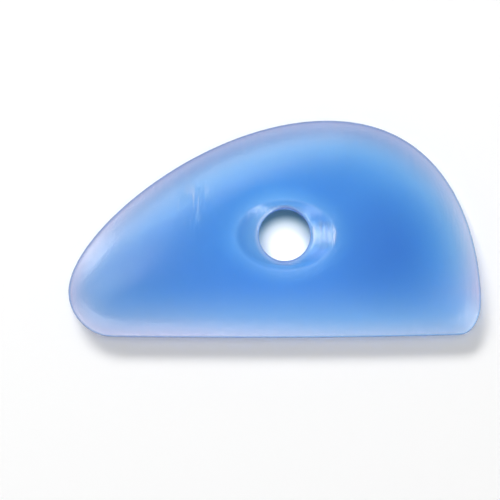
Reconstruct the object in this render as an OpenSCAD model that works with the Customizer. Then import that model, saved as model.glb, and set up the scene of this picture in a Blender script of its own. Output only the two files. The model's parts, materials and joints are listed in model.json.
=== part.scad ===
// A pottery rib: a palm-sized shaping tool for clay, cast in one piece from tinted clear urethane.
// Both faces swell from a thin working edge to a thick middle, and each has an oval finger dish
// round the hole that goes through. It lies on its back, with the nose to -X and the crown to +Y.

/* [Overall size] */
// Length from the tip of the nose to the back of the heel
rib_length = 74.8; // [66:0.1:100]
// Width from the working edge to the crown
rib_width = 39.4; // [34:0.1:56]
// Thickness of the middle
middle_t = 6; // [4.6:0.1:9]

/* [Outline] */
// Height of the nose tip above the working edge
nose_y = 8.4; // [6:0.1:11]
// Distance of the crown from the nose
crown_x = 47; // [38:0.1:54]
// Height of the heel's furthest point above the working edge
heel_y = 6.5; // [5:0.1:10]
// Where the working edge begins, from the nose
edge_start_x = 8.2; // [7:0.1:12]
// How far short of the heel the working edge ends
edge_end_in = 4; // [3.4:0.1:7]
// Lowest point of the bowed working edge, from the nose
belly_x = 36; // [28:0.5:46]
// How far the bow lifts the start of the working edge
edge_start_y = 0.15; // [0.05:0.05:0.6]
// How far the bow lifts the end of the working edge
edge_end_y = 0.5; // [0.1:0.05:1]

/* [Section] */
// Thickness of the thin rim, which is fully rounded
rim_t = 1; // [0.8:0.1:1.6]
// Width of the thin band inside the rim
band_w = 3.2; // [1.8:0.1:3.6]
// Thickness where the band ends and the swell begins
band_t = 2.7; // [1.7:0.1:3]
// Distance from the edge at which the full thickness is reached
swell_w = 11; // [6.5:0.1:11]

/* [Finger dish and hole] */
// Distance of the hole's centre from the nose
hole_x = 39.2; // [34:0.1:46]
// Height of the hole's centre above the working edge
hole_y = 18.6; // [16:0.1:20]
// Diameter of the hole
hole_d = 9.3; // [6:0.1:11]
// How far the dish runs past the hole along the rib
dish_reach_x = 4.4; // [2:0.1:6]
// How far the dish runs past the hole across the rib
dish_reach_y = 1.7; // [1:0.1:2.5]
// Depth of the dish in each face, at the hole
dish_depth = 1.3; // [0.7:0.1:1.6]
// Width of the soft shoulder outside the dish, along the rib
shoulder_x = 2.6; // [0.8:0.1:3]
// Width of the soft shoulder outside the dish, across the rib
shoulder_y = 2.8; // [0.8:0.1:3]
// How far the shoulder falls before the brink of the dish
shoulder_drop = 0.25; // [0.05:0.05:0.4]
// Width of the rounding that leads from the dish into the hole
lip_w = 0.8; // [0.3:0.1:0.9]

/* [Hidden] */

hole_r = hole_d / 2;
urethane_blue = "#4A8FE0";

// Each part of the outline is one cubic curve. A fullness is how far its handle reaches, as a share
// of the space between the two points that it joins.
back_fullness = [0.84, 0.31];
flank_fullness = [0.48, 0.335];
nose_fullness = 0.55;
heel_fullness = [0.6, 0.52];
edge_fullness = 1 / 3;

// The swell rises nearly straight and eases into the full thickness. A higher power eases it later.
ease_power = 6;
// The steps gather towards the brink of the dish by these powers, so that its crease stays crisp
shoulder_gather = 1.5;
slope_gather = 2;
// The loft runs this far past the wall of the hole, and this far down, before the hole is cut
lip_past = 0.3;
lip_drop = 0.95;
hole_facets = 96;
cut_over = 1;

// Steps round the outline and across the faces
back_steps = 24;
flank_steps = 28;
nose_steps = 12;
edge_steps = 9;
heel_steps = 10;
rim_steps = 3;
band_steps = 3;
swell_steps = 8;
shoulder_steps = 4;
slope_steps = 3;
lip_steps = 3;
reach_steps = 4;

// The six points that the outline passes through
heel = [rib_length, heel_y];
crown = [crown_x, rib_width];
nose = [0, nose_y];
edge_start = [edge_start_x, edge_start_y];
belly = [belly_x, 0];
edge_end = [rib_length - edge_end_in, edge_end_y];
hole = [hole_x, hole_y];

// Directions of the bowed edge at its two ends
start_rise = 2 * edge_start_y / (belly.x - edge_start.x);
end_rise = 2 * edge_end_y / (edge_end.x - belly.x);

function cubic(a, b, c, d, t) =
    pow(1 - t, 3) * a + 3 * pow(1 - t, 2) * t * b + 3 * (1 - t) * t * t * c + t * t * t * d;

function quadratic(a, b, c, t) = pow(1 - t, 2) * a + 2 * (1 - t) * t * b + t * t * c;

// The points of one curve of the outline, without its last, which starts the next curve
function sweep(a, b, c, d, steps) = [for (i = [0 : steps - 1]) cubic(a, b, c, d, i / steps)];

function back_curve() =
    let (up = [0, crown.y - heel.y], across = [heel.x - crown.x, 0])
    sweep(heel, heel + back_fullness[1] * up, crown + back_fullness[0] * across, crown, back_steps);

function flank_curve() =
    let (up = [0, crown.y - nose.y], across = [crown.x, 0])
    sweep(crown, crown - flank_fullness[0] * across, nose + flank_fullness[1] * up, nose, flank_steps);

function nose_curve() =
    let (drop = [0, nose.y - edge_start.y], run = edge_start.x * [1, -start_rise])
    sweep(nose, nose - nose_fullness * drop, edge_start - nose_fullness * run, edge_start, nose_steps);

function edge_start_curve() =
    let (run = belly.x - edge_start.x)
    sweep(edge_start, edge_start + edge_fullness * run * [1, -start_rise],
          belly - edge_fullness * [run, 0], belly, edge_steps);

function edge_end_curve() =
    let (run = edge_end.x - belly.x)
    sweep(belly, belly + edge_fullness * [run, 0],
          edge_end - edge_fullness * run * [1, end_rise], edge_end, edge_steps);

function heel_curve() =
    let (rise = [0, heel.y - edge_end.y], run = edge_end_in * [1, end_rise])
    sweep(edge_end, edge_end + heel_fullness[0] * run, heel - heel_fullness[1] * rise, heel, heel_steps);

// The outline, anticlockwise from the heel
outline = concat(
    back_curve(), flank_curve(), nose_curve(),
    edge_start_curve(), edge_end_curve(), heel_curve()
);
count = len(outline);

function unit(v) = v / norm(v);

// Square to the outline at its point i, pointing into the rib
function inward(i) =
    let (along = unit(outline[(i + 1) % count] - outline[(i + count - 1) % count]))
    [-along.y, along.x];

// How strongly one straight edge from a to b pulls on point p: it fades with the distance squared
function pull(p, a, b) =
    let (along = unit(b - a), away = cross(along, p - a))
    ((b - p) * along / norm(b - p) - (a - p) * along / norm(a - p)) / (away * away);

function total(list) = list * [for (item = list) 1];

// Soft distance of a point from the outline. Beside one edge it is the plain distance, and between
// two edges it blends them, so the faces swell with no ridge where the corners meet.
function depth_in(p) =
    let (pulls = [for (i = [0 : count - 1]) pull(p, outline[i], outline[(i + 1) % count])])
    sqrt(2 / total(pulls));

// How far to go from a point of the outline, in a given direction, to reach that soft distance
function reach(from, way, goal, guess, steps) =
    steps < 1 ? guess : reach(from, way, goal, guess * goal / depth_in(from + way * guess), steps - 1);

// How much of the swell's height is reached at a share of its width
function swell(share) = (ease_power * share - pow(share, ease_power)) / (ease_power - 1);

// Half the thickness at a soft distance from the outline, past the band
function half_t(depth) =
    let (share = min(1, max(0, (depth - band_w) / (swell_w - band_w))))
    (band_t + (middle_t - band_t) * swell(share)) / 2;

// The rounded rim ends where its circle touches the straight line of the band
rim_r = rim_t / 2;
band_corner = [band_w - rim_r, band_t / 2];
rim_turn = 180 - atan2(band_corner.y, band_corner.x) - acos(rim_r / norm(band_corner));

// An oval about the hole, that reaches past it by the given widths
function oval(turn, past) = hole + [(hole_r + past.x) * cos(turn), (hole_r + past.y) * sin(turn)];

dish_reach = [dish_reach_x, dish_reach_y];
shoulder_reach = dish_reach + [shoulder_x, shoulder_y];

// Each spoke crosses the dish on a bearing halfway between an even spread and its outline point
function bearing(i) =
    let (first = atan2(heel.y - hole.y, heel.x - hole.x),
         there = atan2(outline[i].y - hole.y, outline[i].x - hole.x),
         onward = i > 0 && there < first ? there + 360 : there)
    (onward + first + 360 * i / count) / 2;

// A point of a spoke holds its place in plan and, as z, half the thickness there
function lift(at, half) = [at.x, at.y, half];

function rim_point(i, turn) = lift(outline[i] + rim_r * (1 - cos(turn)) * inward(i), rim_r * sin(turn));

// The round of the rim
function rim_part(i) = [for (k = [0 : rim_steps - 1]) rim_point(i, rim_turn * k / rim_steps)];

// The flat taper of the band
function band_part(start, end) = [for (k = [0 : band_steps - 1]) start + (end - start) * k / band_steps];

// The swell to full thickness, up to the shoulder of the dish
function swell_part(start, end) = [for (k = [0 : swell_steps - 1])
    let (at = start + (end - start) * k / swell_steps)
    lift(at, half_t(depth_in(at)))];

// The soft shoulder: it leaves the face smoothly and falls to the brink of the dish
function shoulder_part(start, ease, brink) = [for (k = [0 : shoulder_steps - 1])
    quadratic(start, ease, brink, 1 - pow(1 - k / shoulder_steps, shoulder_gather))];

// The straight slope of the dish, from the brink down to the lip
function slope_part(brink, lip_top) = [for (k = [0 : slope_steps - 1])
    brink + (lip_top - brink) * pow(k / slope_steps, slope_gather)];

// The dish: a soft shoulder, a straight slope, and the lip that rounds into the hole
function dish_part(turn, top) =
    let (shoulder = lift(oval(turn, shoulder_reach), top),
         ease = lift(oval(turn, (shoulder_reach + dish_reach) / 2), top),
         brink = lift(oval(turn, dish_reach), top - shoulder_drop),
         mouth = lift(oval(turn, [0, 0]), top - dish_depth),
         inside = lift(oval(turn, -[lip_past, lip_past]), top - dish_depth - lip_drop),
         slope = brink - mouth,
         lip_top = mouth + slope * lip_w / norm([slope.x, slope.y]))
    concat(
        shoulder_part(shoulder, ease, brink),
        slope_part(brink, lip_top),
        [for (k = [0 : lip_steps]) quadratic(lip_top, mouth, inside, k / lip_steps)]
    );

// One spoke of a face, from the rim to just inside the hole
function spoke(i) =
    let (turn = bearing(i),
         shoulder = oval(turn, shoulder_reach),
         way = unit(shoulder - outline[i]),
         band_end = outline[i] + way * reach(outline[i], way, band_w, band_w, reach_steps))
    concat(
        rim_part(i),
        band_part(rim_point(i, rim_turn), lift(band_end, band_t / 2)),
        swell_part(band_end, shoulder),
        dish_part(turn, half_t(depth_in(shoulder)))
    );

// The skin goes from inside the hole, out over the front to the rim, and back in over the back
spokes = [for (i = [0 : count - 1]) spoke(i)];
front_rings = len(spokes[0]);
ring_total = 2 * front_rings - 1;

function skin_point(ring, i) =
    let (front = ring < front_rings,
         p = spokes[i][front ? front_rings - 1 - ring : ring - front_rings + 1])
    [p.x, p.y, middle_t / 2 + (front ? p.z : -p.z)];

function corner(ring, i) = (ring % ring_total) * count + i % count;

module skin() {
    points = [for (ring = [0 : ring_total - 1]) for (i = [0 : count - 1]) skin_point(ring, i)];
    faces = [for (ring = [0 : ring_total - 1]) for (i = [0 : count - 1]) for (half = [0, 1])
        half == 0
            ? [corner(ring, i), corner(ring + 1, i + 1), corner(ring + 1, i)]
            : [corner(ring, i), corner(ring, i + 1), corner(ring + 1, i + 1)]];
    polyhedron(points = points, faces = faces, convexity = 6);
}

// The cast urethane rib, centred over its resting face
module rib() {
    color(urethane_blue)
    translate([-rib_length / 2, -rib_width / 2, 0])
    difference() {
        skin();
        translate([hole.x, hole.y, -cut_over])
            cylinder(h = middle_t + 2 * cut_over, r = hole_r, $fn = hole_facets);
    }
}

rib();
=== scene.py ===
# %% [markdown]
# A pottery rib, cast in one piece from clear urethane with a blue dye stirred in. A potter holds it
# with a finger in the dish and draws the long thin edge over wet clay, to press and smooth a wall.
# There is one piece to dress, so the lesson is about three things: how a measured shape becomes a
# smooth mesh, how clear plastic takes its colour from its own thickness, and how soft light draws it.

# %% The measured model
import json
import math

import bmesh
import bpy
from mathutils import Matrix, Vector

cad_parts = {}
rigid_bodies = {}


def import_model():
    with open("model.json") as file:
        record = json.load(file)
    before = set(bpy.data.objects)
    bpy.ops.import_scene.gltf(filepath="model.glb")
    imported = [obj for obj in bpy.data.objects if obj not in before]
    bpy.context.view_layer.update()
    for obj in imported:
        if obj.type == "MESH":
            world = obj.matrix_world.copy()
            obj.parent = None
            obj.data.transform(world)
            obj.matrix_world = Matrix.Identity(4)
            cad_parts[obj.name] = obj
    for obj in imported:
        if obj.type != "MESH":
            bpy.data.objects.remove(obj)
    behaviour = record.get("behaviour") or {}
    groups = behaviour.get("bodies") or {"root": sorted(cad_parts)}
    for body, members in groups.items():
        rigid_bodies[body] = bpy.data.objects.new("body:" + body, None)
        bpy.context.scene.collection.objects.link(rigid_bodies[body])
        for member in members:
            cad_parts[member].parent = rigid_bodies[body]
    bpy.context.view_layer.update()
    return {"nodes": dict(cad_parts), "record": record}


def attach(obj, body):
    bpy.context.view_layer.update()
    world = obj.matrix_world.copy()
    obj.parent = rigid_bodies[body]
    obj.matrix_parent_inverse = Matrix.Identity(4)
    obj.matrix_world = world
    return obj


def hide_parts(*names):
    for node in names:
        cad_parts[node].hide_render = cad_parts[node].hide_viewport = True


MM = 0.001

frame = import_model()

# %% [markdown]
# Everything on the rib is placed from its hole. The measured model says where the hole is and how
# wide, so the script asks for those numbers and repeats none of them. The hole's own height is the
# middle height of the body, where the two faces meet in the rounded edge.

# %% Where the hole is
hang_hole = next(mount for mount in frame["record"]["mounts"] if mount["name"] == "hang_hole")
hole = Vector(hang_hole["pos_m"])
hole_r = hang_hole["dims"]["r_mm"] * MM
print(f"hole at {hole.x / MM:.1f}, {hole.y / MM:.1f} mm, radius {hole_r / MM:.2f} mm")


def from_hole(point):
    """How far a point is from the axis of the hole."""
    return math.hypot(point.x - hole.x, point.y - hole.y)


# %% [markdown]
# The measured mesh is loose triangles, which would smooth into dents, and a voxel remesh would blur
# the crisp brink of the dish. So a copy is merged at its doubled corners, its hole is opened a little
# past the lip, and its triangles are joined into quads, because quads divide smoothly. Any two may
# join, whatever their angle, and pairs that make a regular grid come first. The measured model
# itself stays as it is, and this piece stands in its place.

# %% A clean copy of the body
weld_gap = 0.002 * MM
lip_width = 0.55 * MM
any_angle = math.pi
grid_first = 1.3

body = bmesh.new()
body.from_mesh(frame["nodes"]["rib"].data)
bmesh.ops.remove_doubles(body, verts=body.verts, dist=weld_gap)
inside_lip = [v for v in body.verts if from_hole(v.co) < hole_r + lip_width]
bmesh.ops.delete(body, geom=inside_lip, context="VERTS")
bmesh.ops.join_triangles(
    body, faces=body.faces, angle_face_threshold=any_angle, angle_shape_threshold=any_angle,
    topology_influence=grid_first,
)
print(f"body: {len(body.faces)} faces, {sum(len(f.verts) == 4 for f in body.faces)} of them quads")

# %% [markdown]
# The mould left a small round where the dish turns into the hole. A Bevel could round it, but the
# measured hole is cut across the grid of the mesh, where a bevel comes out ragged. So each face's
# open ring is extruded inward and down in a few steps along a curve, as a potter's sponge would
# round a rim, and the two last rings are bridged to make the straight wall of the hole. The curve
# bends towards mouth_height and ends at wall_height, both from the middle height of the body.

# %% The lip and the wall of the hole
mouth_height = 1.7 * MM
wall_height = 1.3 * MM
lip_steps = 5
start_height = body.verts.layers.float.new("start_height")


def round_in(ring):
    """Extrudes a ring of edges round the lip to the wall of the hole, and gives the last ring."""
    side = math.copysign(1, ring[0].verts[0].co.z - hole.z)
    for v in {v for e in ring for v in e.verts}:
        v[start_height] = abs(v.co.z - hole.z)
    for step in range(1, lip_steps + 1):
        t = step / lip_steps
        shrink = ((lip_steps - step) / (lip_steps - step + 1)) ** 2
        made = bmesh.ops.extrude_edge_only(body, edges=ring)["geom"]
        for v in (item for item in made if isinstance(item, bmesh.types.BMVert)):
            out = Vector((v.co.x - hole.x, v.co.y - hole.y))
            out *= (hole_r + (out.length - hole_r) * shrink) / out.length
            height = (1 - t) ** 2 * v[start_height] + 2 * t * (1 - t) * mouth_height + t * t * wall_height
            v.co = (hole.x + out.x, hole.y + out.y, hole.z + side * height)
        ring = [item for item in made if isinstance(item, bmesh.types.BMEdge) and item.is_boundary]
    return ring


open_edges = [e for e in body.edges if e.is_boundary]
front_ring = round_in([e for e in open_edges if e.verts[0].co.z > hole.z])
back_ring = round_in([e for e in open_edges if e.verts[0].co.z < hole.z])
bmesh.ops.bridge_loops(body, edges=front_ring + back_ring)
bmesh.ops.recalc_face_normals(body, faces=body.faces)
body.verts.layers.float.remove(start_height)
is_closed = all(e.is_manifold for e in body.edges)
print(f"closed: {is_closed}, volume {body.calc_volume(signed=True) / MM ** 3:.0f} cubic mm")

# %% [markdown]
# A casting from a polished mould has no facets. The quads could be cut finer by hand, but a
# Subdivision Surface does it with an even curve, and two levels are as fine as the picture can show.

# %% The rib as a piece
smooth_levels = 2

for face in body.faces:
    face.smooth = True
rib_mesh = bpy.data.meshes.new("urethane_rib")
body.to_mesh(rib_mesh)
body.free()
rib = bpy.data.objects.new("urethane_rib", rib_mesh)
bpy.context.scene.collection.objects.link(rib)
cast_smooth = rib.modifiers.new("cast_smooth", "SUBSURF")
cast_smooth.levels = cast_smooth.render_levels = smooth_levels
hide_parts("rib")
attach(rib, "root")
print(f"{rib.name}: {len(rib_mesh.polygons)} faces before it is smoothed")

# %% [markdown]
# Colours are written as they look on a screen, in hex, and one function turns them to the linear
# values that light needs. Another adds a shader node with its settings and links. A Map Range node
# is used most: it turns a measure, such as a height, into a mask that fades from 0 to 1 over a real
# distance. Where its To Max is another mask, the two are multiplied.

# %% Colours and nodes
def linear(hex_colour):
    """An sRGB hex colour as linear red, green, blue and an alpha of 1."""
    parts = [int(hex_colour[i:i + 2], 16) / 255 for i in (1, 3, 5)]
    return [p / 12.92 if p <= 0.04045 else ((p + 0.055) / 1.055) ** 2.4 for p in parts] + [1]


def add_node(tree, kind, inputs=(), **settings):
    """Adds a shader node. Each input is a value, an output, or a node whose first output in use is linked."""
    node = tree.nodes.new("ShaderNode" + kind)
    for name, value in settings.items():
        setattr(node, name, value)
    for name, value in dict(inputs).items():
        if isinstance(value, bpy.types.Node):
            value = next(output for output in value.outputs if output.enabled)
        if isinstance(value, bpy.types.NodeSocket):
            tree.links.new(value, node.inputs[name])
        else:
            node.inputs[name].default_value = value
    return node


def new_material(name):
    """A material with an empty node tree."""
    material = bpy.data.materials.new(name)
    material.use_nodes = True
    material.node_tree.nodes.clear()
    return material


print("mid grey #808080 is", round(linear("#808080")[0], 3), "in linear light")

# %% [markdown]
# Cast urethane is a clear rubbery plastic, poured into a mould with the dye stirred in, so its
# colour isn't on its surface. Light goes in, loses its red to the dye on the way, and comes out pale
# from the thin edge and deep blue from the thick middle. A volume could take the red out of each
# ray, but from the side, where a ray runs through 40 mm of dye, it would turn the rib nearly black.
# So most of the blue is a surface colour that is worked out from the thickness underneath, and a
# thin volume adds the rest. The material starts with where a point lies: how far above or below the
# middle height, how far from the hole, and how far out in the dish, which is 1 along its brink.

# %% Where a point lies on the rib
dish_past_hole = Vector((4.4, 1.7)) * MM
dish_reach = dish_past_hole + Vector((hole_r, hole_r))
dish_scale = (1 / dish_reach.x, 1 / dish_reach.y, 0)

urethane = new_material("cast_tinted_urethane")
tree = urethane.node_tree
place = add_node(tree, "TexCoord").outputs["Object"]
along = add_node(tree, "SeparateXYZ", {0: place}).outputs
over_middle = add_node(tree, "Math", {0: along["Z"], 1: hole.z}, operation="SUBTRACT")
half = add_node(tree, "Math", {0: over_middle}, operation="ABSOLUTE")
hole_way = add_node(tree, "VectorMath", {0: place, 1: hole}, operation="SUBTRACT")
hole_away = add_node(tree, "VectorMath", {0: place, 1: hole}, operation="DISTANCE")
dish_place = add_node(tree, "VectorMath", {0: hole_way, 1: dish_scale}, operation="MULTIPLY")
in_dish = add_node(tree, "VectorMath", {0: dish_place}, operation="LENGTH")
print(f"dish: {2 * dish_reach.x / MM:.1f} by {2 * dish_reach.y / MM:.1f} mm across its brink")

# %% [markdown]
# Dyed plastic keeps a fixed share of each colour for each millimetre that light goes through it. So
# what is left after any thickness is what is left after the full one, raised to a power. That power
# is called depth here: 0 at the very edge, 1 where the rib is full thick. Light that wanders in the
# thin parts gets out early, so the depth grows slowly at first. The thin rim itself looks darker
# than the band beside it, because the eye looks along it and not through it, so it has a least
# depth of its own. It starts at rim_half and is seen edge on from rim_side. These heights are taken
# from the middle height, so they are half the thickness.

# %% How deep the blue is
full_half = 3 * MM
rim_half = 0.6 * MM
rim_side = 0.3 * MM
slow_start = 1.3
least_rim_depth = 0.38

thickness = add_node(tree, "MapRange", {"Value": half, "From Max": full_half})
depth = add_node(tree, "Math", {0: thickness, 1: slow_start}, operation="POWER")
rim_depth = add_node(tree, "MapRange", {
    "Value": half, "From Min": rim_half, "From Max": rim_side, "To Max": least_rim_depth,
})
print(f"full depth at {full_half / MM:.0f} mm from the middle height")

# %% [markdown]
# Light gathers where the shape turns, and here it is painted into the colour. The soft shoulder
# round the dish and its brink are paler than their height would make them, as painted light and a
# painted highlight on the brink, and so is the lip of the hole, as painted light. The right side of
# the dish is deeper, as painted shade in the hollow, and the straight wall inside the hole is deep.
# Each is a soft mask, and in the dish its limits are shares of the way out to the brink. Those of
# the dish take from the depth or add to it here, and those of the lip and the wall wait until the
# depth is complete. The lip keeps a share of it.

# %% The dish, the lip and the wall of the hole, with painted light and shade
lip_share = 0.3

# Painted light on the soft shoulder round the dish.
shoulder_start = add_node(tree, "MapRange", {"Value": in_dish, "From Min": 0.96, "From Max": 1.04})
shoulder_light = add_node(tree, "MapRange", {
    "Value": in_dish, "From Min": 1.42, "From Max": 1.1, "To Max": shoulder_start,
})
# A painted highlight along the brink of the dish.
brink_start = add_node(tree, "MapRange", {"Value": in_dish, "From Min": 0.92, "From Max": 0.98})
brink_highlight = add_node(tree, "MapRange", {
    "Value": in_dish, "From Min": 1.06, "From Max": 1.0, "To Max": brink_start,
})
dish_floor = add_node(tree, "MapRange", {"Value": in_dish, "From Min": 1.0, "From Max": 0.94})
# Painted shade on the right side of the dish's hollow.
dish_side_shade = add_node(tree, "MapRange", {
    "Value": along["X"], "From Min": 3 * MM, "From Max": 7 * MM, "To Max": dish_floor,
})
for mask, change in ((shoulder_light, -0.2), (brink_highlight, -0.2), (dish_side_shade, 0.3)):
    depth = add_node(tree, "Math", {0: mask, 1: change, 2: depth}, operation="MULTIPLY_ADD")

# Painted light on the lip of the hole.
lip_light = add_node(tree, "MapRange", {
    "Value": hole_away, "From Min": hole_r + 0.85 * MM, "From Max": hole_r + 1.25 * MM,
    "To Min": lip_share,
})
wall = add_node(tree, "MapRange", {
    "Value": hole_away, "From Min": hole_r + 0.45 * MM, "From Max": hole_r + 0.15 * MM,
})
print(f"{len(tree.nodes)} nodes so far")

# %% [markdown]
# A rib is dragged over gritty clay and wiped, so it has fine scratches. Cut into the mesh, they would
# need millions of faces, so they are a pattern. They run across the working edge, which is the way
# that a rib is drawn: a noise stretched along Y, whose peaks alone are kept. They are 0.45 mm apart,
# wider than real ones, so that they show. Most lie in one rubbed place left of the dish. The right
# slope of the dish, where the finger presses, is rubbed bright in finer streaks, and its colour is
# made paler there too, as a painted highlight of the gleam on that slope.

# %% Scratches, and the rubbed slope of the dish with its painted highlight
hair_size = Vector((0.45, 5, 5)) * MM
streak_size = Vector((0.35, 3, 3)) * MM
rub_place = Vector((-14.2, 4.6, 6)) * MM
finger_place = Vector((8.8, -1.1, 5.1)) * MM
stray_scratches = 0.05
streak_floor = 0.45

hair_place = add_node(tree, "VectorMath", {0: place, 1: [1 / s for s in hair_size]}, operation="MULTIPLY")
hair = add_node(tree, "TexNoise", {"Vector": hair_place, "Scale": 1, "Detail": 0})
rub_away = add_node(tree, "VectorMath", {0: place, 1: rub_place}, operation="DISTANCE")
rubbed = add_node(tree, "MapRange", {
    "Value": rub_away, "From Min": 1.5 * MM, "From Max": 4.5 * MM,
    "To Min": 1, "To Max": stray_scratches,
})
scratches = add_node(tree, "MapRange", {
    "Value": hair, "From Min": 0.56, "From Max": 0.66, "To Max": rubbed,
})
streak_place = add_node(tree, "VectorMath", {0: place, 1: [1 / s for s in streak_size]}, operation="MULTIPLY")
streaks = add_node(tree, "TexNoise", {"Vector": streak_place, "Scale": 1, "Detail": 1})
finger_away = add_node(tree, "VectorMath", {0: place, 1: finger_place}, operation="DISTANCE")
finger_streaks = add_node(tree, "MapRange", {
    "Value": streaks, "From Min": 0.4, "From Max": 0.55, "To Min": streak_floor,
})
# The finger's streaks: wear, and a painted highlight in the colour as well.
finger_streaks_and_gleam = add_node(tree, "MapRange", {
    "Value": finger_away, "From Min": 2.9 * MM, "From Max": 2.1 * MM, "To Max": finger_streaks,
})
# The scratches are paler, and so is the finger's slope, which also carries a painted highlight.
for mask, change in ((scratches, -0.55), (finger_streaks_and_gleam, -0.55)):
    depth = add_node(tree, "Math", {0: mask, 1: change, 2: depth}, operation="MULTIPLY_ADD")
print(f"scratches {hair_size.x / MM:.2f} mm apart, streaks {streak_size.x / MM:.2f} mm apart")

# %% [markdown]
# The lip's painted light makes the depth less, and the rim and the wall set the least that it can
# be. Then the blue is worked out from it, with one Power node for each of red, green and blue. A
# colour ramp could be drawn by eye, but a power keeps to what dye does. The hex colour is what white
# light becomes after the full thickness.

# %% The blue of every thickness
full_blue = linear("#50B8F3")

for mask, operation in ((lip_light, "MULTIPLY"), (rim_depth, "MAXIMUM"), (wall, "MAXIMUM")):
    depth = add_node(tree, "Math", {0: depth, 1: mask}, operation=operation)
left = [add_node(tree, "Math", {0: part, 1: depth}, operation="POWER") for part in full_blue[:3]]
blue = add_node(tree, "CombineColor", {"Red": left[0], "Green": left[1], "Blue": left[2]})
print("light left after the full thickness:", [round(part, 2) for part in full_blue[:3]])

# %% [markdown]
# The colour isn't even. Urethane clouds a little as it sets. The blue is deeper to the right of the
# hole, and the lower half and the nose are tinted a little pink. The band and the rim along the top
# are darker and greyer, as painted shade, while the lower right edge is a clean blue, as painted
# light where light that has crossed the body comes out. The lower left of the dish is greyer, as
# painted shade inside the hollow. These could be painted by hand on a texture, but a mask that is
# worked out from a distance or a direction has a real place and size to change.

# %% Where the plastic is uneven, and where light and shade are painted
cloud_size = 12 * MM
band_half = 1.7 * MM
deep_blue_centre = Vector((22, -4, 3)) * MM
nose_end = Vector((-34, -8, 3)) * MM
top_shade_way = (-0.3, 0.95, 0)
dish_shade_way = (-0.7, -0.7, 0)
pink_y = -11 * MM
lower_light_share = 0.75

clouds = add_node(tree, "TexNoise", {"Vector": place, "Scale": 1 / cloud_size, "Detail": 2})
clouds = add_node(tree, "MapRange", {"Value": clouds, "From Min": 0.35, "From Max": 0.65})
# Painted shade: the band and the rim along the top are darker and greyer.
top_shade = add_node(tree, "VectorMath", {0: place, 1: top_shade_way}, operation="DOT_PRODUCT")
top_shade = add_node(tree, "MapRange", {"Value": top_shade, "From Min": -10 * MM, "From Max": 14 * MM})
top_band_shade = add_node(tree, "MapRange", {
    "Value": half, "From Min": band_half, "From Max": 1.0 * MM, "To Max": top_shade,
})
top_rim_shade = add_node(tree, "MapRange", {
    "Value": half, "From Min": rim_half, "From Max": rim_side, "To Max": top_shade,
})
# The blue is deeper round this point, to the right of the hole.
deep_blue_away = add_node(tree, "VectorMath", {0: place, 1: deep_blue_centre}, operation="DISTANCE")
near_deep_blue = add_node(tree, "MapRange", {"Value": deep_blue_away, "From Min": 13 * MM, "From Max": 3 * MM})
nose_away = add_node(tree, "VectorMath", {0: place, 1: nose_end}, operation="DISTANCE")
near_nose = add_node(tree, "MapRange", {"Value": nose_away, "From Min": 26 * MM, "From Max": 8 * MM})
lower_half = add_node(tree, "MapRange", {"Value": along["Y"], "From Min": -3 * MM, "From Max": pink_y})
# Painted light: the lower right edge is a clean blue, where light that has crossed the body comes out.
lower_light_rightward = add_node(tree, "MapRange", {
    "Value": along["X"], "From Min": -25 * MM, "From Max": 12 * MM, "To Max": lower_light_share,
})
lower_edge_light = add_node(tree, "MapRange", {
    "Value": along["Y"], "From Min": pink_y, "From Max": -16 * MM, "To Max": lower_light_rightward,
})
# Painted shade in the lower left of the dish's hollow.
painted_dish_shade = add_node(tree, "VectorMath", {0: hole_way, 1: dish_shade_way}, operation="DOT_PRODUCT")
painted_dish_shade = add_node(tree, "MapRange", {
    "Value": painted_dish_shade, "From Min": -2 * MM, "From Max": 3 * MM, "To Max": dish_floor,
})
print(f"clouds {cloud_size / MM:.0f} mm across, {len(tree.nodes)} nodes so far")

# %% [markdown]
# The clouds make the clear plastic wander between two lavender whites. The other tints, both real
# ones and painted light and shade, are mixed over that one after another, each through its mask,
# and the whole is laid over the blue.

# %% The tint of the plastic
tint = add_node(tree, "Mix", {
    "Factor": clouds, "A": linear("#F6EDFF"), "B": linear("#EFE8FC"),
}, data_type="RGBA")
for mask, tinge in (
    (lower_half, "#F2E2FD"),
    # painted light along the lower right edge
    (lower_edge_light, "#C8DEFF"),
    # painted shade on the top band
    (top_band_shade, "#CCC8E8"),
    (near_deep_blue, "#A8CCEF"),
    (near_nose, "#E6D9F3"),
    # painted shade on the top rim
    (top_rim_shade, "#C4B8DA"),
    # painted shade in the lower left of the dish
    (painted_dish_shade, "#E0D8EE"),
    # partly a painted highlight on the finger's slope
    (finger_streaks_and_gleam, "#DAD4E2"),
):
    tint = add_node(tree, "Mix", {"Factor": mask, "A": tint, "B": linear(tinge)}, data_type="RGBA")
colour = add_node(tree, "Mix", {"Factor": 1, "A": tint, "B": blue}, data_type="RGBA", blend_type="MULTIPLY")
print(f"{len(tree.nodes)} nodes so far")

# %% [markdown]
# Urethane takes the polish of its mould, and use dulls it to a soft sheen. Two places are rubbed
# bright again: one side of the nose, and the slope of the dish under the finger. The relief is only
# a tenth of a millimetre: the scratches, the streaks in the dish, and slow waves from the casting.
# It comes from a Bump node, because it is far finer than the mesh.

# %% The gloss and the relief
wave_size = 5 * MM
relief_height = 0.12 * MM
finger_ridges = 0.3
wave_share = 0.1
nose_side = Vector((-31.5, -3.5, 4)) * MM
worn_dull = 0.24
rubbed_bright = 0.14
nose_brighter = -0.06
cloud_duller = 0.02

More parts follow.
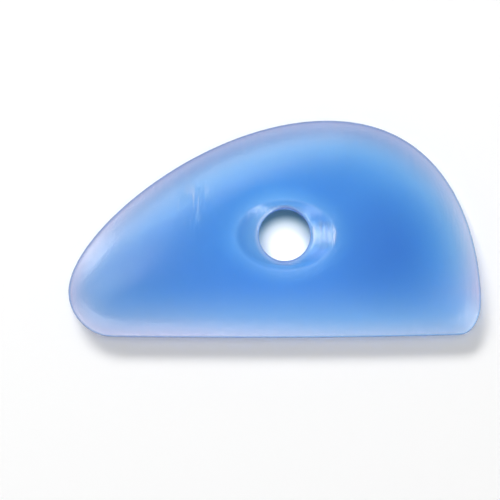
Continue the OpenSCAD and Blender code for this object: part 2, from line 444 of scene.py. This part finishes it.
under_finger = add_node(tree, "MapRange", {"Value": finger_away, "From Min": 3.2 * MM, "From Max": 2.4 * MM})
finger_relief = add_node(tree, "Math", {0: under_finger, 1: finger_ridges}, operation="MULTIPLY")
finger_relief = add_node(tree, "Math", {0: streaks, 1: finger_relief}, operation="MULTIPLY")
waves = add_node(tree, "TexNoise", {"Vector": place, "Scale": 1 / wave_size, "Detail": 1})
waves = add_node(tree, "Math", {0: waves, 1: wave_share, 2: finger_relief}, operation="MULTIPLY_ADD")
relief = add_node(tree, "Math", {0: scratches, 1: waves}, operation="ADD")
relief = add_node(tree, "Bump", {"Height": relief, "Distance": relief_height})

nose_side_away = add_node(tree, "VectorMath", {0: place, 1: nose_side}, operation="DISTANCE")
nose_rub = add_node(tree, "MapRange", {
    "Value": nose_side_away, "From Min": 6 * MM, "From Max": 3 * MM, "To Max": nose_brighter,
})
nose_rub = add_node(tree, "MapRange", {
    "Value": half, "From Min": band_half, "From Max": 1.3 * MM, "To Max": nose_rub,
})
roughness = add_node(tree, "Math", {
    0: under_finger, 1: rubbed_bright - worn_dull, 2: worn_dull,
}, operation="MULTIPLY_ADD")
roughness = add_node(tree, "Math", {0: clouds, 1: cloud_duller, 2: roughness}, operation="MULTIPLY_ADD")
roughness = add_node(tree, "Math", {0: roughness, 1: nose_rub}, operation="ADD")
print(f"relief of a full scratch: {relief_height / MM:.2f} mm")

# %% [markdown]
# A Principled surface holds it all. Most of the light goes through it, as Transmission Weight says,
# and the rest comes back as if from the cloudy plastic itself. Urethane bends light by about 1.47.
# The volume inside adds the rest of the blue. It is thin, so that even the long rays that come out
# through the side stay blue and don't turn black.

# %% The cast urethane
add_node(tree, "OutputMaterial", {
    "Surface": add_node(tree, "BsdfPrincipled", {
        "Base Color": colour,
        "Roughness": roughness,
        "Normal": relief,
        "IOR": 1.47,
        "Transmission Weight": 0.85,
    }),
    "Volume": add_node(tree, "VolumeAbsorption", {"Color": linear("#5DBCF2"), "Density": 150}),
})
rib.data.materials.append(urethane)
print(f"{urethane.name}: {len(tree.nodes)} nodes")

# %% [markdown]
# The rib lies on a wide table of matt white paint. A box would do, but only its top is ever seen, so
# it is one square on the floor plane, a hair below the rib.

# %% The table
floor_drop = 0.02 * MM
floor_half = 3.0

table_top = bmesh.new()
bmesh.ops.create_grid(table_top, x_segments=1, y_segments=1, size=floor_half)
bmesh.ops.translate(table_top, verts=table_top.verts, vec=(0, 0, -floor_drop))
table_mesh = bpy.data.meshes.new("white_table")
table_top.to_mesh(table_mesh)
table_top.free()
table = bpy.data.objects.new("white_table", table_mesh)
bpy.context.scene.collection.objects.link(table)
print(f"table {2 * floor_half:.0f} m wide, {floor_drop / MM} mm under the rib")

# %% [markdown]
# What the eye sees through the rib is the table, so the table's brightness from inside the rib sets
# how bright the blue is. Lit by the lamps alone it would be too dark under there, so for rays that
# come through the rib it glows by itself, less towards the ends. All other rays meet plain matt
# white, which shows the rib's soft shadow. In the hole, the shadow of the wall and the blue that
# leaks from it make a soft crescent, which is painted on the table round the hole. Far off, where
# the lamps fade, the camera alone sees the table turn to full white, as a paper sweep would.

# %% The paint of the table
shade_centre = Vector((hole.x + 0.3 * MM, hole.y - 2.2 * MM, -floor_drop))
glow_centre = Vector((0, -2, 0)) * MM
middle_glow = 0.94
end_glow = 0.77

table_paint = new_material("matt_white_paint")
tree = table_paint.node_tree
place = add_node(tree, "TexCoord").outputs["Object"]
shade_away = add_node(tree, "VectorMath", {0: place, 1: shade_centre}, operation="DISTANCE")
shade = add_node(tree, "MapRange", {"Value": shade_away, "From Min": 2.6 * MM, "From Max": 6 * MM})
shade = add_node(tree, "MapRange", {
    "Value": shade_away, "From Min": 10 * MM, "From Max": 8 * MM, "To Max": shade,
})
white = add_node(tree, "Mix", {
    "Factor": shade, "A": linear("#FFFFFF"), "B": linear("#7AA1AA"),
}, data_type="RGBA")
glow_away = add_node(tree, "VectorMath", {0: place, 1: glow_centre}, operation="DISTANCE")
glow = add_node(tree, "MapRange", {
    "Value": glow_away, "From Min": 8 * MM, "From Max": 40 * MM, "To Min": middle_glow, "To Max": end_glow,
})
rays = add_node(tree, "LightPath").outputs
near_table = add_node(tree, "MixShader", {
    0: rays["Is Transmission Ray"],
    1: add_node(tree, "BsdfDiffuse", {"Color": white}),
    2: add_node(tree, "Emission", {"Strength": glow}),
})
far_off = add_node(tree, "VectorMath", {0: place}, operation="LENGTH")
far_off = add_node(tree, "MapRange", {
    "Value": far_off, "From Min": 70 * MM, "From Max": 400 * MM, "To Max": rays["Is Camera Ray"],
})
add_node(tree, "OutputMaterial", {"Surface": add_node(tree, "MixShader", {
    0: far_off,
    1: near_table,
    2: add_node(tree, "Emission", {"Strength": 1}),
})})
table.data.materials.append(table_paint)
print(f"{table_paint.name}: {len(tree.nodes)} nodes")

# %% [markdown]
# The room is white all round. The camera, reflections and rays through the rib see it at full
# white, but it lights the table at only a quarter, so that the lamps can still draw a shadow.

# %% The white room
room_light = 0.25

world = bpy.data.worlds.new("white_room")
world.use_nodes = True
tree = world.node_tree
tree.nodes.clear()
rays = add_node(tree, "LightPath").outputs
seen = add_node(tree, "Math", {0: rays["Is Camera Ray"], 1: rays["Is Glossy Ray"]}, operation="MAXIMUM")
seen = add_node(tree, "Math", {0: seen, 1: rays["Is Transmission Ray"]}, operation="MAXIMUM")
strength = add_node(tree, "MapRange", {"Value": seen, "To Min": room_light})
add_node(tree, "OutputWorld", {
    "Surface": add_node(tree, "Background", {"Color": linear("#FFFFFF"), "Strength": strength}),
})
world.cycles.sampling_method = "NONE"
bpy.context.scene.world = world
print(f"room lights at {room_light} of white")

# %% [markdown]
# Lamps hang round the rib as softboxes do round a studio table. Where a lamp is matters less than
# where it seems to be from the rib, so its place and size are angles. Level is what it adds to a
# white table that faces it, so the power grows with the square of the distance.

# %% How a lamp is hung
usual_far = 1.2


def hang_lamp(lamp, aim, way, far):
    """Hangs a lamp some way off from the point that it shines on, and gives its object."""
    holder = bpy.data.objects.new(lamp.name, lamp)
    holder.location = aim + way * far
    holder.rotation_mode = "QUATERNION"
    holder.rotation_quaternion = way.to_track_quat("Z", "Y")
    bpy.context.scene.collection.objects.link(holder)
    return holder


def add_softbox(name, azimuth, elevation, width, height, level, aim=hole, far=usual_far, spread=180):
    """A rectangular lamp. Its angles are in degrees as seen from its aim, azimuth from +X to +Y."""
    around, up = math.radians(azimuth), math.radians(elevation)
    way = Vector((math.cos(around) * math.cos(up), math.sin(around) * math.cos(up), math.sin(up)))
    lamp = bpy.data.lights.new(name, "AREA")
    lamp.shape = "RECTANGLE"
    lamp.spread = math.radians(spread)
    lamp.size = 2 * far * math.tan(math.radians(width / 2))
    lamp.size_y = 2 * far * math.tan(math.radians(height / 2))
    lamp.energy = level * math.pi ** 2 * far ** 2
    return hang_lamp(lamp, aim, way, far)


print(f"softboxes hang {usual_far} m off unless told otherwise")

# %% [markdown]
# Two large softboxes light the table and cast the shadow, one behind the rib and one overhead. In a
# reflection they would be hard white shapes, so they are hidden there.

# %% The softboxes
for softbox in (
    add_softbox("back_softbox", 112, 36, 30, 12, 0.8),
    add_softbox("top_softbox", 90, 86, 40, 40, 0.36),
):
    softbox.visible_glossy = False
    softbox.visible_transmission = False
    print(f"{softbox.name}: {softbox.data.energy:.2f} W")

# %% [markdown]
# Clear plastic is drawn by what it reflects. The other lamps do the opposite of the softboxes: each
# shows only as a gleam on one part of the rib, and neither the table nor the camera sees it. Most
# are long and thin, and follow a stretch of the edge. The one for the dish hangs close over the
# slope that the finger has rubbed, with a narrow spread, so that it gleams there and nowhere else.

# %% The gleams
for gleam in (
    add_softbox("nose_strip", 157, 51.5, 16, 5, 0.085),
    add_softbox("lower_nose_strip", -130, 50, 42, 12, 0.2),
    add_softbox("dish_light", 180, 62, 20, 22, 0.0152, aim=finger_place, far=0.12, spread=30),
    add_softbox("left_face_strip", 174, 65, 38, 20, 0.05),
    add_softbox("upper_edge_strip", 118, 59.5, 46, 5.5, 0.2),
    add_softbox("corner_strip", -38, 45.5, 38, 11, 0.58),
    add_softbox("lower_edge_strip", -119, 50, 50, 12, 0.165),
):
    gleam.visible_diffuse = False
    gleam.visible_camera = False
    print(f"{gleam.name}: {gleam.data.energy:.4f} W")

# %% [markdown]
# Little of that light finds its way down the hole, so a small round lamp close above it, aimed with
# a narrow spread, lights the bit of table that shows through.

# %% The lamp for the hole
spot_far = 20 * MM
spot_level = 0.09
spot_way = Vector((-0.08, 0.5, 0.86)).normalized()
spot_width = 7 * MM
spot_spread = 60

spot = bpy.data.lights.new("hole_spot", "AREA")
spot.shape = "DISK"
spot.size = spot_width
spot.spread = math.radians(spot_spread)
spot.energy = spot_level * math.pi ** 2 * (spot_far + hole.z) ** 2
spot_holder = hang_lamp(spot, hole, spot_way, spot_far)
spot_holder.visible_glossy = False
spot_holder.visible_transmission = False
print(f"{spot.name}: {spot.energy * 1000:.2f} mW")

# %% [markdown]
# The rib is seen from straight above through a long lens, as on a page of a tool catalogue. The
# width of the view at the rib and the lens give the camera's height. The Standard view transform
# shows colours as they are written.

# %% The camera
view_span = 90.6 * MM
view_centre = Vector((-4.47, -3.77)) * MM
lens = 100
sensor = 36

camera = bpy.data.cameras.new("camera")
camera.lens = lens
camera.sensor_width = sensor
eye = bpy.data.objects.new("camera", camera)
eye.location = (view_centre.x, view_centre.y, hole.z + view_span * lens / sensor)
bpy.context.scene.collection.objects.link(eye)
bpy.context.scene.camera = eye
bpy.context.scene.view_settings.view_transform = "Standard"
print(f"camera {eye.location.z / MM:.0f} mm above the table")
